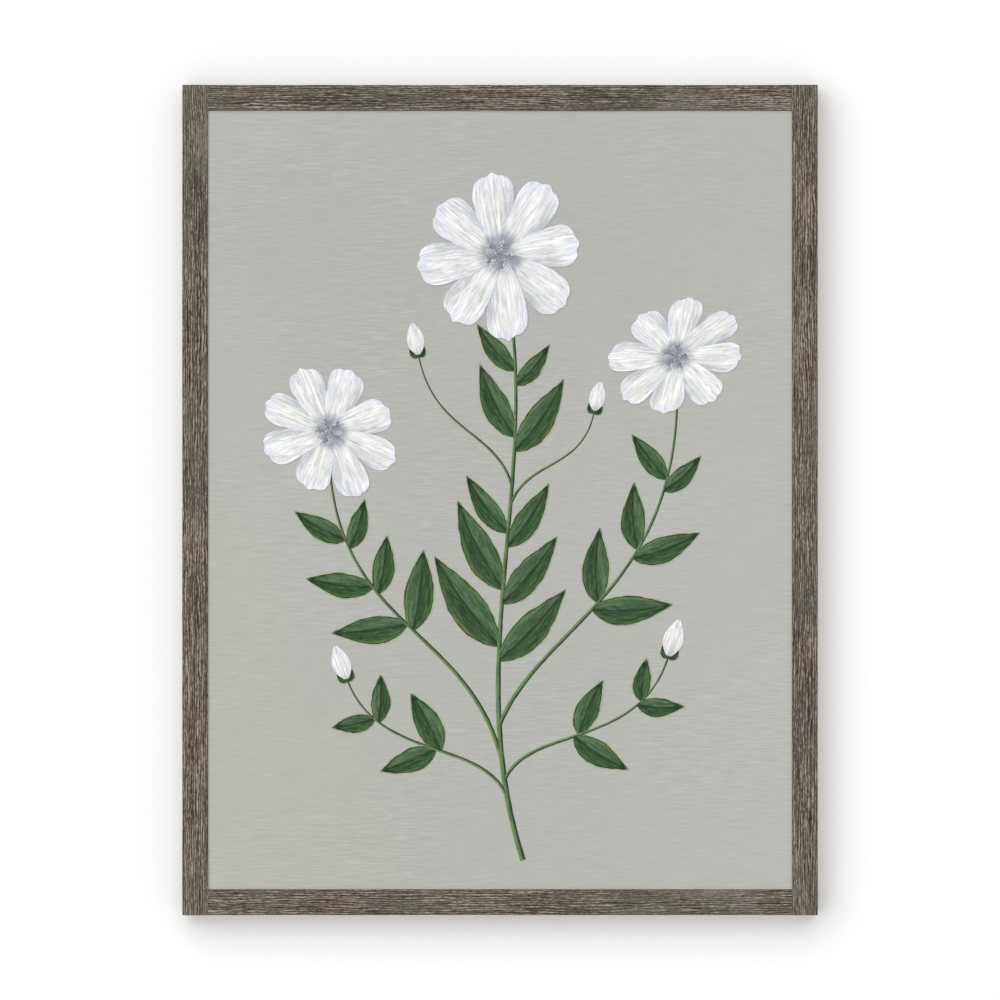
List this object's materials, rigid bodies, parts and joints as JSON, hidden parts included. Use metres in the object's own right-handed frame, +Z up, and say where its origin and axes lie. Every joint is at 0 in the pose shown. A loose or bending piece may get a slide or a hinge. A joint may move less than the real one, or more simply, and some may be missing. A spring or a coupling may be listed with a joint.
{
  "type": "framed_picture",
  "caption": "Unglazed botanical painting on board, held in a butt-jointed weathered wood frame that hangs from a sawtooth hanger.",
  "frame": {"origin": "hanging point: the middle notch of the sawtooth hanger, in the plane of the wall", "axes": "+Z up, -Y out of the wall towards the viewer, +X to the right as seen from the front"},
  "size_m": [0.498, 0.028, 0.6504],
  "materials": {
    "weathered_wood": "matte",
    "painted_ground": "matte",
    "leaf_paint": "satin",
    "white_paint": "satin",
    "eye_paint": "satin",
    "kraft_board": "matte",
    "beech": "matte",
    "zinc_plate": "satin",
    "brass_plate": "satin",
    "black_rubber": "matte"
  },
  "bodies": {
    "root": {"left_stile": "weathered_wood", "right_stile": "weathered_wood", "top_rail": "weathered_wood", "bottom_rail": "weathered_wood", "corner_dowel_1": "beech", "corner_dowel_2": "beech", "corner_dowel_3": "beech", "corner_dowel_4": "beech", "corner_dowel_5": "beech", "corner_dowel_6": "beech", "corner_dowel_7": "beech", "corner_dowel_8": "beech", "painted_panel": "painted_ground", "backing_board": "kraft_board", "framers_point_1": "zinc_plate", "framers_point_2": "zinc_plate", "framers_point_3": "zinc_plate", "framers_point_4": "zinc_plate", "framers_point_5": "zinc_plate", "framers_point_6": "zinc_plate", "framers_point_7": "zinc_plate", "framers_point_8": "zinc_plate", "framers_point_9": "zinc_plate", "framers_point_10": "zinc_plate", "framers_point_11": "zinc_plate", "framers_point_12": "zinc_plate", "framers_point_13": "zinc_plate", "framers_point_14": "zinc_plate", "sawtooth_hanger": "brass_plate", "hanger_nail_1": "brass_plate", "hanger_nail_2": "brass_plate", "wall_bumper_left": "black_rubber", "wall_bumper_right": "black_rubber", "painted_stems_and_leaves": "leaf_paint", "painted_flower_top": "white_paint", "painted_eye_top": "eye_paint", "painted_flower_left": "white_paint", "painted_eye_left": "eye_paint", "painted_flower_right": "white_paint", "painted_eye_right": "eye_paint", "painted_bud_1": "white_paint", "painted_bud_2": "white_paint", "painted_bud_3": "white_paint", "painted_bud_4": "white_paint"}
  },
  "joints": []
}
